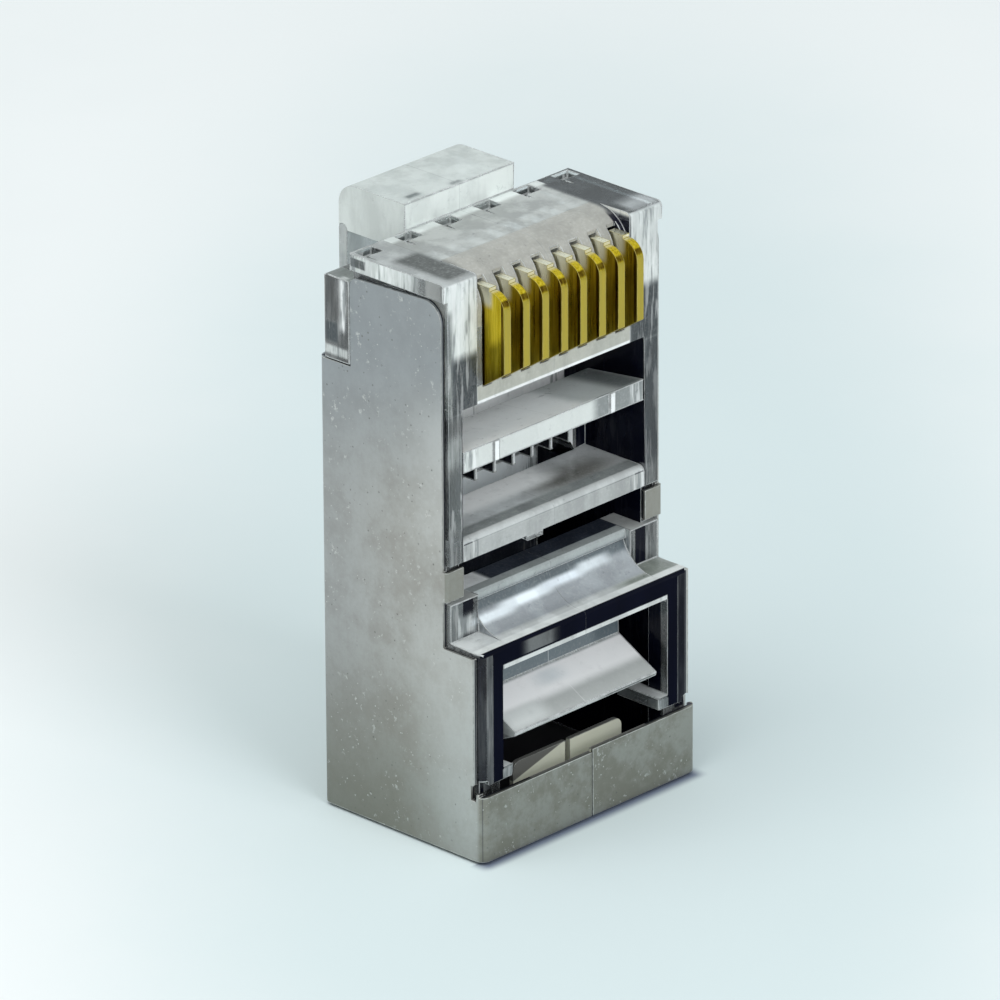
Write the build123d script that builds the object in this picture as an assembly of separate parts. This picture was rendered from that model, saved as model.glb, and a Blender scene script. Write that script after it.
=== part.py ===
from build123d import *
import math
import os

# A shielded eight-way modular plug, in millimetres. It stands on its cable end: X runs across the
# row of contacts, the contact face looks to -Y, the latch is on the +Y side and the nose is up.

# Overall sizes
plug_width = 11.68
rim_depth = 8.4
nose_depth = 4.84
comb_face = -2.37

# Heights, stacked from the foot of the shield up to the nose
rim_height = 2.76
sill_step = 1.2
jacket_window = 4.7
section_cap = 0.9
scoop_height = 1.54
tab_window = 1.55
web_thickness = 0.85
clamp_window = 5.25
cross_rail = 0.6
nose_cap = 0.55
flange_height = 0.7

# Shield
sheet = 0.2
fit_gap = 0.03
edge_gap = 0.05
bend_radius = 0.38
back_panel_height = 18.2
panel_set_back = 0.17
rim_set_back = 0.47
panel_step_drop = 0.16
panel_front_radius = 0.8
panel_back_radius = 0.4
panel_fall = 0.2
band_step = 0.12
seam_place = 0.1
seam_gap = 0.04
relief_depth = 0.3
clamp_tab_reach = 0.95
clamp_tab_height = 1.2
inner_tab_reach = 1.3
inner_tab_width = 2.85
inner_tab_height = 2.75
inner_tab_gap = 0.2
inner_tab_radius = 0.35

# Housing
wall = 0.71
jacket_window_half = 4.47
section_radius = 0.15
corner_radius = 0.3
scoop_radius = 1.66
scoop_inset = 0.43
scoop_margin = 0.8
lip_reach = 0.22
lip_rise = 0.12
lip_height = 0.5
lip_depth = 0.45
lip_chamfer = 0.2
shelf_depth = 0.45
shelf_thickness = 0.5
ledge_width = 0.5
ledge_thickness = 0.5
ledge_height = 0.72
ledge_back = -1.8
rim_clearance = 0.2
rim_shadow = 0.4
gate_half = 0.43
gate_drop = 0.22
gate_depth = 0.6
gate_place = -1.06
throat_front = -1.2
web_radius = 0.28
nose_radius = 0.2
comb_radius = 1.5
shoulder_drop = 1.15
shoulder_radius = 0.35
funnel_height = 1.2
key_pockets = 6
key_pitch = 2.1
key_half = 0.46
key_length = 0.75
key_wall = 0.08
key_depth = 0.35
key_groove_half = 0.06
key_groove_length = 0.45
key_groove_depth = 0.12

# Contacts and the wire channels behind them
contact_count = 8
contact_pitch = 1.016
contact_thickness = 0.36
contact_height = 3.95
contact_depth = 3.6
contact_proud = 1.05
contact_radius = 0.7
contact_bevel_height = 0.7
contact_cap = 0.15
contact_cap_reach = 0.3
contact_step = 0.35
contact_land = 1.5
tooth_count = 3
tooth_pitch = 0.85
tooth_length = 0.98
tooth_half = 0.3
slot_clearance = 0.08
slot_end_gap = 0.05
slot_mouth = 0.5
channel_front = 0.7
channel_width = 0.84
channel_depth = 1.1
channel_end_drop = 0.8

# Clamps
clamp_gap = 0.05
conductor_clamp_height = 0.85
conductor_clamp_drop = 1.7
conductor_clamp_depth = 2.87
conductor_clamp_fall = 0.35
conductor_clamp_foot = 1.0
clamp_rib_place = 3.12
clamp_rib_half = 0.15
clamp_rib_proud = 0.06
clamp_relief = 0.1
jacket_clamp_half = 3.85
jacket_clamp_edge = 0.15
jacket_clamp_lip = 2.8
jacket_clamp_rise = 1.03
jacket_clamp_lip_depth = 1.95
jacket_clamp_keel = 0.5
jacket_clamp_keel_depth = 1.05
jacket_clamp_heel = 0.1
jacket_pivot_radius = 0.28
jacket_pivot_inset = 0.5

# Latch
latch_half = 2.93
root_reach = 3.43
root_thickness = 1.85
root_rise = 1.06
root_radius = 0.8
lever_thickness = 0.4
hinge_gap = 0.03
lever_drop = 5.8
handle_half = 1.62
handle_length = 8.6
handle_thickness = 0.55
handle_slope = 13.0
handle_radius = 0.7

# Places worked out from the sizes above
half_width = plug_width / 2
rim_half = rim_depth / 2
seat = sheet + fit_gap
core_half = half_width - seat
core_front = -(rim_half - seat)
core_back = rim_half - seat
rim_seat_front = core_front + rim_clearance
rim_shadow_top = rim_height + rim_shadow
cavity_half = core_half - wall
cavity_back = core_back - wall
nose_back = comb_face + nose_depth

sill_top = rim_height - sill_step
jacket_window_top = rim_height + jacket_window
section_top = jacket_window_top + section_cap
bar_top = section_top + scoop_height
web_bottom = bar_top + tab_window
web_top = web_bottom + web_thickness
clamp_window_top = web_top + clamp_window
slot_bottom = clamp_window_top + cross_rail
contact_bottom = slot_bottom + slot_end_gap
contact_top = contact_bottom + contact_height
slot_top = contact_top + slot_end_gap
nose_top = slot_top + nose_cap
flange_bottom = nose_top - flange_height
shoulder_top = nose_top - shoulder_drop
panel_top = flange_bottom - edge_gap
panel_front = comb_face + panel_set_back
rim_panel_front = -rim_half + rim_set_back
panel_step = section_top - panel_step_drop

inner_tab_front = -rim_half + inner_tab_reach
sill_back = inner_tab_front - fit_gap
contact_front = comb_face - contact_proud
channel_back = channel_front + channel_depth
channel_top = slot_top - channel_end_drop
funnel_top = web_bottom + funnel_height
comb_half = contact_count * contact_pitch / 2
contact_places = [(i - (contact_count - 1) / 2) * contact_pitch for i in range(contact_count)]

key_places = [(i - (key_pockets - 1) / 2) * key_pitch for i in range(key_pockets)]

clamp_top = clamp_window_top - conductor_clamp_drop
clamp_half = cavity_half - clamp_gap
clamp_back = comb_face + conductor_clamp_depth
clamp_back_top = clamp_top - conductor_clamp_fall
clamp_back_bottom = clamp_back_top - conductor_clamp_foot

jacket_pivot_y = throat_front - jacket_pivot_inset
jacket_pivot_z = jacket_window_top - fit_gap - jacket_pivot_radius

root_top = nose_top + root_rise
root_bottom = root_top - root_thickness
root_back = nose_back + root_reach
lever_front = root_back - lever_thickness
lever_pivot_y = root_back - lever_thickness / 2
lever_pivot_z = root_bottom
past = 1.0


def outline(*points):
    """A flat face from its corner points, drawn as (depth, height)."""
    return make_face(Polyline(*points, close=True))


def rounded(face, depth, height, radius):
    """The same face with its corner at (depth, height) rounded."""
    corner = face.vertices().sort_by_distance(Vector(depth, height))[0]
    return fillet(corner, radius)


def across(face, half, place=0.0):
    """Carry a (depth, height) face across the width, half to each side of its place."""
    return Pos(place, 0, 0) * extrude(Plane.YZ * face, amount=half, both=True)


def block(half, front, back, bottom, top):
    """A straight-sided piece, centred across the width."""
    return across(outline((front, bottom), (back, bottom), (back, top), (front, top)), half)


def corner_fill(depth, height, radius):
    """The face between a square inner corner at (depth, height) and its concave arc."""
    arc = CenterArc((depth - radius, height + radius), radius, -90, 90)
    return make_face([arc, Polyline(arc @ 1, (depth, height), arc @ 0)])


def corner_cut(depth, height, radius):
    """The face that a convex arc takes off the square corner at (depth, height)."""
    arc = CenterArc((depth + radius, height - radius), radius, 90, 90)
    return make_face([arc, Polyline(arc @ 1, (depth, height), arc @ 0)])


def round_standing(body, half):
    """Round the four standing edges of a body that is half wide and reaches core_back."""
    middle = corner_radius * (1 - math.sqrt(0.5))
    for x in (-1, 1):
        for y in (-1, 1):
            start = (x * half, y * (core_back - corner_radius))
            end = (x * (half - corner_radius), y * core_back)
            arc = ThreePointArc(start, (x * (half - middle), y * (core_back - middle)), end)
            outer = Polyline(
                end, (end[0], y * (core_back + past)), (x * (half + past), y * (core_back + past)),
                (x * (half + past), start[1]), start)
            body -= extrude(make_face([arc, outer]), nose_top)
    return body


def housing_shell():
    """Outer form: rear section, slimmer middle, nose and the flush zones beside the shield."""
    side = outline(
        (rim_seat_front, seat), (core_back, seat), (core_back, shoulder_top),
        (nose_back, shoulder_top), (nose_back, nose_top), (comb_face, nose_top),
        (comb_face, section_top), (core_front, section_top), (core_front, rim_shadow_top),
        (rim_seat_front, rim_shadow_top),
    )
    side = rounded(side, core_front, section_top, section_radius)
    side = rounded(side, core_back, shoulder_top, shoulder_radius)
    side = rounded(side, comb_face, nose_top, nose_radius)
    flange = outline(
        (comb_face, flange_bottom), (nose_back, flange_bottom),
        (nose_back, nose_top), (comb_face, nose_top),
    )
    flange = rounded(flange, comb_face, nose_top, nose_radius)
    shoulder = outline(
        (nose_back + edge_gap, back_panel_height + edge_gap),
        (core_back, back_panel_height + edge_gap),
        (core_back, shoulder_top), (nose_back + edge_gap, shoulder_top),
    )
    shoulder = rounded(shoulder, core_back, shoulder_top, shoulder_radius)
    core = round_standing(across(side, core_half), core_half)
    wings = round_standing(across(shoulder, half_width), half_width)
    return core + wings + across(flange, half_width)


def scoop(body):
    """Hollow the middle of the shoulder out to a concave sweep under the cross bar."""
    half = cavity_half - scoop_margin
    depth = comb_face + scoop_inset
    body -= block(half, core_front - past, depth, section_top, bar_top + past)
    front = depth - lip_reach
    crest = bar_top + lip_rise
    lip = outline(
        (front, crest - lip_height), (front + lip_depth, crest - lip_height),
        (front + lip_depth, crest), (front + lip_chamfer, crest), (front, crest - lip_chamfer))
    return body + across(corner_fill(depth, section_top, scoop_radius), half) + across(lip, half)


def housing_hollows():
    """Cable throat, funnel, windows and wire channels."""
    throat = block(cavity_half, sill_back, cavity_back, seat - past, jacket_window_top)
    window = block(jacket_window_half, core_front - past, sill_back, sill_top, jacket_window_top)
    upper = block(cavity_half, throat_front, cavity_back, jacket_window_top, web_bottom)
    slit = block(cavity_half, comb_face - past, throat_front, bar_top, web_bottom)
    tab_notch = block(half_width, comb_face - past, panel_front + edge_gap, bar_top, web_bottom)
    low_rim = Pos(0, (channel_front + cavity_back) / 2, web_bottom) * Rectangle(
        2 * cavity_half, cavity_back - channel_front)
    high_rim = Pos(0, channel_front + channel_depth / 2, funnel_top) * Rectangle(
        2 * comb_half, channel_depth)
    funnel = loft([low_rim, high_rim])
    clamp_bay = block(cavity_half, comb_face - past, channel_front, web_top, clamp_window_top)
    clamp_run = block(
        cavity_half, channel_front, channel_back,
        clamp_back_bottom - clamp_relief, clamp_top + clamp_relief)
    return [throat, window, upper, slit, tab_notch, funnel, clamp_bay, clamp_run]


def wire_channel(place):
    """One U-shaped channel, open towards its contact, with a round back."""
    radius = channel_width / 2
    straight = channel_depth - radius
    plan = Pos(place, channel_front + straight / 2) * Rectangle(channel_width, straight)
    plan += Pos(place, channel_back - radius) * Circle(radius)
    return Pos(0, 0, web_top) * extrude(plan, channel_top - web_top)


def contact_slot(place):
    """The slot of one contact, which also opens over the front of the nose."""
    mouth = comb_face + slot_mouth
    face = outline(
        (comb_face - past, slot_bottom), (channel_front, slot_bottom), (channel_front, slot_top),
        (mouth, slot_top), (mouth, nose_top + past), (comb_face - past, nose_top + past),
    )
    return across(face, contact_thickness / 2 + slot_clearance, place)


def latch_root():
    """Root slab of the latch, with the round seat that its lever turns in."""
    slab = outline(
        (nose_back, root_bottom), (root_back, root_bottom),
        (root_back, root_top), (nose_back, root_top))
    slab = rounded(slab, root_back, root_top, root_radius)
    seat_cut = Pos(lever_pivot_y, lever_pivot_z) * Circle(lever_thickness / 2 + hinge_gap)
    return across(slab, latch_half) - across(seat_cut, latch_half + past)


def key_pocket(place):
    """One moulding pocket in the back edge of the nose, with a short groove ahead of it."""
    front = nose_back - key_length
    pocket = outline(
        (front, nose_top - key_depth), (nose_back - key_wall, nose_top - key_depth),
        (nose_back - key_wall, nose_top + past), (front, nose_top + past))
    groove = outline(
        (front - key_groove_length, nose_top), (front, nose_top - key_groove_depth),
        (front, nose_top + past), (front - key_groove_length, nose_top + past))
    side = place - key_half + key_groove_half
    return across(pocket, key_half, place) + across(groove, key_groove_half, side)


def make_housing():
    body = scoop(housing_shell())
    for hollow in housing_hollows():
        body -= hollow
    for place in contact_places:
        body -= contact_slot(place)
        body -= wire_channel(place)
    body -= across(corner_cut(comb_face, nose_top, comb_radius), comb_half)
    body -= across(corner_cut(comb_face, web_top, web_radius), cavity_half)
    for place in key_places:
        body -= key_pocket(place)
    body += block(
        cavity_half, throat_front, throat_front + shelf_depth, bar_top - shelf_thickness, bar_top)
    ledge_inner = jacket_window_half - ledge_width
    ledge = block(
        (cavity_half + wall / 2 - ledge_inner) / 2, core_front, ledge_back,
        rim_height + ledge_height - ledge_thickness, rim_height + ledge_height)
    for side in (-1, 1):
        body += Pos(side * (ledge_inner + cavity_half + wall / 2) / 2, 0, 0) * ledge
    gate = block(gate_half, comb_face, comb_face + gate_depth, web_bottom - gate_drop, web_bottom)
    return body + latch_root() + Pos(gate_place, 0, 0) * gate


def make_latch_lever():
    """Sprung lever: a wide plate down from the root, then the narrow sloping handle."""
    head = Pos(lever_pivot_y, lever_pivot_z) * Circle(lever_thickness / 2)
    knee = lever_pivot_z - lever_drop
    run = handle_length * math.cos(math.radians(handle_slope))
    lean = handle_length * math.sin(math.radians(handle_slope))
    across_handle = handle_thickness / math.cos(math.radians(handle_slope))
    plate = outline(
        (lever_front, lever_pivot_z), (lever_front, knee),
        (lever_front + lean, knee - run), (lever_front + lean + across_handle, knee - run),
        (lever_front + across_handle, knee), (root_back, knee + lever_thickness),
        (root_back, lever_pivot_z),
    )
    front = Pos(0, (lever_pivot_z + knee) / 2) * Rectangle(2 * latch_half, lever_drop + lever_thickness)
    handle = Pos(0, knee - run / 2) * Rectangle(2 * handle_half, run)
    for side in (-1, 1):
        handle = rounded(handle, side * handle_half, knee - run, handle_radius)
    front += handle
    mask = Pos(0, root_back, 0) * extrude(Plane.XZ * front, amount=handle_length, both=True)
    return across(head + plate, latch_half) & mask


def make_conductor_clamp():
    """Bar that grips the separate wires when it is pressed in, with a rib near each end."""
    bottom = clamp_top - conductor_clamp_height
    heel = clamp_back - conductor_clamp_foot
    bar = outline(
        (comb_face, bottom), (heel, clamp_back_bottom), (clamp_back, clamp_back_bottom),
        (clamp_back, clamp_back_top), (comb_face, clamp_top),
    )
    clamp = across(bar, clamp_half)
    for side in (-1, 1):
        rib = block(clamp_rib_half, comb_face - clamp_rib_proud, comb_face, bottom, clamp_top)
        clamp += Pos(side * clamp_rib_place, 0, 0) * rib
    return clamp


def make_jacket_clamp():
    """Wedge-shaped tongue that swings in against the cable jacket from behind the front wall."""
    lip_top = jacket_window_top - jacket_clamp_lip
    lip_bottom = lip_top - jacket_clamp_edge
    tongue = outline(
        (core_front, lip_top), (core_front, lip_bottom),
        (core_front + jacket_clamp_keel_depth, lip_bottom - jacket_clamp_keel),
        (throat_front - fit_gap, lip_bottom + jacket_clamp_heel),
        (jacket_pivot_y + jacket_pivot_radius, jacket_pivot_z),
        (jacket_pivot_y - jacket_pivot_radius, jacket_pivot_z),
        (core_front + jacket_clamp_lip_depth, lip_top + jacket_clamp_rise),
    )
    pivot = Pos(jacket_pivot_y, jacket_pivot_z) * Circle(jacket_pivot_radius)
    return across(tongue + pivot, jacket_clamp_half)


def make_contact(place):
    """Blade with a rounded nose-side corner and piercing teeth towards its wire."""
    root = contact_front + contact_depth - tooth_length
    land = contact_front + contact_land
    front_top = contact_top - contact_cap
    cap_front = comb_face - contact_cap_reach
    blade = outline(
        (contact_front, contact_bottom + contact_bevel_height), (comb_face, contact_bottom),
        (root, contact_bottom), (root, contact_top - contact_step),
        (land, contact_top - contact_step), (land, contact_top), (cap_front, contact_top),
        (cap_front, front_top), (contact_front, front_top),
    )
    blade = rounded(blade, contact_front, front_top, contact_radius)
    middle = (slot_bottom + channel_top) / 2
    for i in range(tooth_count):
        height = middle + (i - (tooth_count - 1) / 2) * tooth_pitch
        blade += outline(
            (root, height - tooth_half), (root + tooth_length, height), (root, height + tooth_half))
    return across(blade, contact_thickness / 2, place)


def inner_tab(side):
    """Tab folded round the foot of the front band and up inside the cable entry."""
    inside = inner_tab_front + sheet
    start = seam_place + side * inner_tab_gap / 2
    end = seam_place + side * (inner_tab_gap / 2 + inner_tab_width)
    hook = outline(
        (-rim_half, 0), (inside, 0), (inside, inner_tab_height), (inner_tab_front, inner_tab_height),
        (inner_tab_front, sheet), (-rim_half + sheet, sheet), (-rim_half + sheet, bend_radius),
        (-rim_half, bend_radius),
    )
    hook = rounded(hook, inside, 0, sheet)
    front = Pos((start + end) / 2, inner_tab_height / 2) * Rectangle(inner_tab_width, inner_tab_height)
    front = rounded(front, end, inner_tab_height, inner_tab_radius)
    mask = extrude(Plane.XZ * front, amount=rim_depth, both=True)
    return across(hook, half_width) & mask


def clamp_tab(side):
    """Small tab folded from the side panel onto the contact face."""
    middle = (bar_top + web_bottom) / 2
    plan = Pos(side * (half_width - clamp_tab_reach / 2), panel_front - sheet / 2) * Rectangle(
        clamp_tab_reach, sheet)
    plan = rounded(plan, side * half_width, panel_front - sheet, sheet * 0.8)
    return Pos(0, 0, middle - clamp_tab_height / 2) * extrude(plan, clamp_tab_height)


def make_shield():
    """Folded sheet-metal shield: back, two side panels, front band and its tabs."""
    outside = RectangleRounded(plug_width, rim_depth, bend_radius)
    inside = RectangleRounded(plug_width - 2 * sheet, rim_depth - 2 * sheet, bend_radius - sheet)
    tube = extrude(outside - inside, panel_top)
    side = outline(
        (-rim_half, 0), (rim_half, 0), (rim_half, back_panel_height), (nose_back, back_panel_height),
        (nose_back, panel_top - panel_fall), (panel_front, panel_top), (panel_front, panel_step),
        (rim_panel_front, panel_step), (rim_panel_front, rim_height), (-rim_half, rim_height),
    )
    side = rounded(side, nose_back, panel_top - panel_fall, panel_back_radius)
    side = rounded(side, panel_front, panel_top, panel_front_radius)
    shield = tube & across(side, half_width + past)
    seam = Pos(seam_place, -rim_half, 0) * Box(seam_gap, 2 * seat, 2 * rim_height)
    shield -= seam
    low_half = Pos(seam_place - half_width, -rim_half, rim_height) * Box(
        2 * half_width, 2 * seat, 2 * band_step)
    shield -= low_half
    for end in (-1, 1):
        relief = Pos(end * half_width, rim_panel_front, rim_height) * Box(
            2 * seat, rim_set_back - sheet, 2 * relief_depth)
        shield -= relief
        shield += clamp_tab(end) + inner_tab(end)
    return shield


def build():
    """Make every sub-part, keyed by its node name."""
    nodes = {
        "housing": make_housing(),
        "latch_lever": make_latch_lever(),
        "conductor_clamp": make_conductor_clamp(),
        "jacket_clamp": make_jacket_clamp(),
        "shield": make_shield(),
    }
    for number, place in enumerate(contact_places, start=1):
        nodes[f"contact_{number}"] = make_contact(place)
    return nodes


os.makedirs("parts", exist_ok=True)
for name, shape in build().items():
    export_step(shape, f"parts/{name}.step")
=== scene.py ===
import logging
import math
from dataclasses import dataclass, field
from enum import Enum
from typing import Sequence, Union

import bpy
from mathutils import Matrix, Vector


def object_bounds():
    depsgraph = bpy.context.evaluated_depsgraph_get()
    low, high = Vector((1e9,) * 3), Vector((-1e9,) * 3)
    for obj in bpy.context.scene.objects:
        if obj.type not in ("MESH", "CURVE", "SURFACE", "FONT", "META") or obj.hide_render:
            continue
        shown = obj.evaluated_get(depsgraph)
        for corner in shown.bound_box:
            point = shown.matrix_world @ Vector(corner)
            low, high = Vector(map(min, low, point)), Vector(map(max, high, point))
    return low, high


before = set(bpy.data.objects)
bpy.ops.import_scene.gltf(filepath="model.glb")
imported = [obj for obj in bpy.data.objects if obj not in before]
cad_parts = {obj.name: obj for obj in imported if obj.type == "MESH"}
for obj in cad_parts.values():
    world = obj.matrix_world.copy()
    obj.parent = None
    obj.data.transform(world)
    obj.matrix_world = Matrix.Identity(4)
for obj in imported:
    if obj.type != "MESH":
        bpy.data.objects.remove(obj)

CAD_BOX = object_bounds()

MM = 0.001
LOG = logging.getLogger("plug")

Number = Union[int, float]
Pair = tuple[float, float]
Triple = tuple[float, float, float]
Colour = Triple


# ---------------------------------------------------------------- shader maths


@dataclass(frozen=True)
class Layer:
    """Where a signal lays a tone over a face, from its start to its end, and how strongly."""

    start: float
    end: float
    share: float


@dataclass(frozen=True)
class Pattern:
    """Cloudy noise.

    Scale is its waves per millimetre, detail its octaves, and rough how strong the fine ones
    are. A stretch scales each axis, so that the pattern runs along one of them.
    """

    scale: float
    detail: float = 3.0
    rough: float = 0.55
    stretch: Union[Triple, None] = None


class Signal:
    """One output socket, with the arithmetic that builds its Math nodes."""

    def __init__(self, graph: "Graph", socket: bpy.types.NodeSocket) -> None:
        """Wrap a socket of a graph."""
        self.graph = graph
        self.socket = socket

    def _math(self, operation: str, *values: "Value") -> "Signal":
        """Add one Math node.

        Args:
            operation: Blender's name for the operation.
            values: Numbers or signals for its inputs, in order.

        Returns:
            The result as a signal.
        """
        return self.graph.node("ShaderNodeMath", {"operation": operation}, dict(enumerate(values)))

    def __add__(self, other: "Value") -> "Signal":
        """Sum."""
        return self._math("ADD", self, other)

    def __radd__(self, other: "Value") -> "Signal":
        """Sum, the other way round."""
        return self._math("ADD", other, self)

    def __sub__(self, other: "Value") -> "Signal":
        """Difference."""
        return self._math("SUBTRACT", self, other)

    def __rsub__(self, other: "Value") -> "Signal":
        """Difference, the other way round."""
        return self._math("SUBTRACT", other, self)

    def __mul__(self, other: "Value") -> "Signal":
        """Product."""
        return self._math("MULTIPLY", self, other)

    def __rmul__(self, other: "Value") -> "Signal":
        """Product, the other way round."""
        return self._math("MULTIPLY", other, self)

    def __abs__(self) -> "Signal":
        """Size without sign."""
        return self._math("ABSOLUTE", self)

    def root(self) -> "Signal":
        """Square root."""
        return self._math("SQRT", self)

    def lower(self, other: "Value") -> "Signal":
        """The lower of two values."""
        return self._math("MINIMUM", self, other)

    def higher(self, other: "Value") -> "Signal":
        """The higher of two values."""
        return self._math("MAXIMUM", self, other)

    def rise(self, start: Number, end: Number, low: Number = 0.0, high: Number = 1.0) -> "Signal":
        """A smooth step.

        Args:
            start: Value at which the step begins.
            end: Value at which it ends; below start for a falling step.
            low: Result before the step.
            high: Result after the step.

        Returns:
            The step as a signal.
        """
        return self.graph.node(
            "ShaderNodeMapRange", {"interpolation_type": "SMOOTHSTEP", "clamp": True},
            {"Value": self, "From Min": start, "From Max": end, "To Min": low, "To Max": high})

    def within(self, low: Number, high: Number, soft: Number) -> "Signal":
        """One between low and high and nought outside, with soft edges."""
        return self.rise(low - soft, low + soft) * (1 - self.rise(high - soft, high + soft))

    def shown(self, layer: Layer) -> "Signal":
        """How much of a layer shows at this value."""
        return self.rise(layer.start, layer.end) * layer.share


Value = Union[Number, Sequence[float], Signal]


class Graph:
    """The node tree of a material or a world, with one method that adds any node."""

    speck_core: float = 0.6

    def __init__(self, owner: Union[bpy.types.Material, bpy.types.World]) -> None:
        """Start with an empty tree.

        Args:
            owner: The material or world that the tree belongs to.
        """
        self.owner = owner
        owner.use_nodes = True
        self.tree = owner.node_tree
        self.tree.nodes.clear()

    @classmethod
    def material(cls, name: str) -> "Graph":
        """Start an empty material of that name."""
        return cls(bpy.data.materials.new(name))

    def node(self, kind: str, settings: dict, values: dict, out: Union[int, str] = 0) -> Signal:
        """Add a node.

        Args:
            kind: The node's type.
            settings: Its properties, set first.
            values: Socket name or number to a number, a colour or a signal.
            out: The output that is handed back.

        Returns:
            That output as a signal.
        """
        made = self.tree.nodes.new(kind)
        for key, value in settings.items():
            setattr(made, key, value)
        for key, value in values.items():
            if isinstance(value, Signal):
                self.tree.links.new(value.socket, made.inputs[key])
            elif made.inputs[key].type == "RGBA" and len(value) == 3:
                made.inputs[key].default_value = (*value, 1.0)
            else:
                made.inputs[key].default_value = value
        return Signal(self, made.outputs[out]) if len(made.outputs) else Signal(self, None)

    def place(self) -> tuple[Signal, Signal, Signal]:
        """The point's X, Y and Z in the CAD frame, in millimetres."""
        point = self.point()
        parts = [
            self.node("ShaderNodeSeparateXYZ", {}, {0: point}, axis) for axis in range(3)]
        return parts[0], parts[1], parts[2]

    def point(self) -> Signal:
        """The point in the CAD frame, in millimetres, as a vector."""
        here = self.node("ShaderNodeTexCoord", {}, {}, "Object")
        return self.node(
            "ShaderNodeVectorMath", {"operation": "SCALE"}, {0: here, "Scale": 1 / MM})

    def facing(self) -> tuple[Signal, Signal, Signal]:
        """The surface normal's X, Y and Z in the CAD frame."""
        normal = self.node("ShaderNodeTexCoord", {}, {}, "Normal")
        parts = [
            self.node("ShaderNodeSeparateXYZ", {}, {0: normal}, axis) for axis in range(3)]
        return parts[0], parts[1], parts[2]

    def stretched(self, scale: Triple) -> Signal:
        """The point with each axis scaled."""
        return self.node("ShaderNodeMapping", {}, {"Vector": self.point(), "Scale": scale})

    def noise(self, pattern: Pattern) -> Signal:
        """Cloudy noise of a pattern, nought to one."""
        point = self.stretched(pattern.stretch) if pattern.stretch else self.point()
        return self.node("ShaderNodeTexNoise", {}, {
            "Vector": point, "Scale": pattern.scale, "Detail": pattern.detail,
            "Roughness": pattern.rough})

    def specks(self, scale: float, size: float) -> Signal:
        """Small round specks.

        Args:
            scale: Cells per millimetre.
            size: Radius of a speck as a share of its cell.

        Returns:
            One in a speck's core, less towards its rim and nought outside.
        """
        distance = self.node(
            "ShaderNodeTexVoronoi", {"feature": "F1"},
            {"Vector": self.point(), "Scale": scale, "Randomness": 1.0}, "Distance")
        return 1 - distance.rise(size * self.speck_core, size)

    def blend(self, amount: Value, low: Value, high: Value) -> Signal:
        """Mix two colours by an amount."""
        return self.node(
            "ShaderNodeMix", {"data_type": "RGBA", "clamp_factor": True},
            {0: amount, 6: low, 7: high}, 2)

    def bump(self, height: Signal, distance: float, strength: float = 1.0) -> Signal:
        """A Bump node, its distance in metres."""
        return self.node(
            "ShaderNodeBump", {}, {"Height": height, "Distance": distance, "Strength": strength})

    def principled(self, values: dict) -> Signal:
        """A Principled shader."""
        return self.node("ShaderNodeBsdfPrincipled", {}, values)

    def finish(self, surface: Signal) -> bpy.types.Material:
        """Link the surface to the output and hand the material back."""
        self.node("ShaderNodeOutputMaterial", {}, {"Surface": surface})
        return self.owner


# -------------------------------------------------------------------- finishes


class Facing(Enum):
    """Which way a patch's surface looks: an axis and a sign, or any way."""

    ANY = None
    UP = (2, 1)
    DOWN = (2, -1)
    FRONT = (1, -1)
    LEFT = (0, -1)


@dataclass(frozen=True)
class Patch:
    """A box of a clear moulding that looks unlike the rest, in millimetres.

    The width range counts from the middle towards both ends, unless one_sided is set. Deep is
    how much of the patch takes a near-black shader: painted shade. Turned is how far the
    surface may turn from the facing: nothing shows at the first cosine, and all at the second.
    """

    across: Pair
    depth: Pair
    height: Pair
    frost: float
    shade: Colour = (0.55, 0.58, 0.58)
    tint: Colour = (0.93, 0.95, 0.96)
    facing: Facing = Facing.ANY
    one_sided: bool = False
    deep: float = 0.0
    soft: Triple = (0.03, 0.03, 0.03)
    turned: Pair = (0.35, 0.75)

    def mask(self, place: Sequence[Signal], normal: Sequence[Signal]) -> Signal:
        """How much a point belongs to the patch.

        Args:
            place: The point's X, Y and Z.
            normal: The surface normal's X, Y and Z.

        Returns:
            One inside the patch and nought outside.
        """
        x = place[0] if self.one_sided else abs(place[0])
        inside = (x.within(*self.across, self.soft[0])
                  * place[1].within(*self.depth, self.soft[1])
                  * place[2].within(*self.height, self.soft[2]))
        if self.facing.value is not None:
            axis, sign = self.facing.value
            inside = inside * (normal[axis] * sign).rise(*self.turned)
        return inside


@dataclass(frozen=True)
class Wear:
    """A tone that a pattern leaves on a face: its step, its share and its colour."""

    step: Pair
    share: float
    colour: Colour


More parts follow.
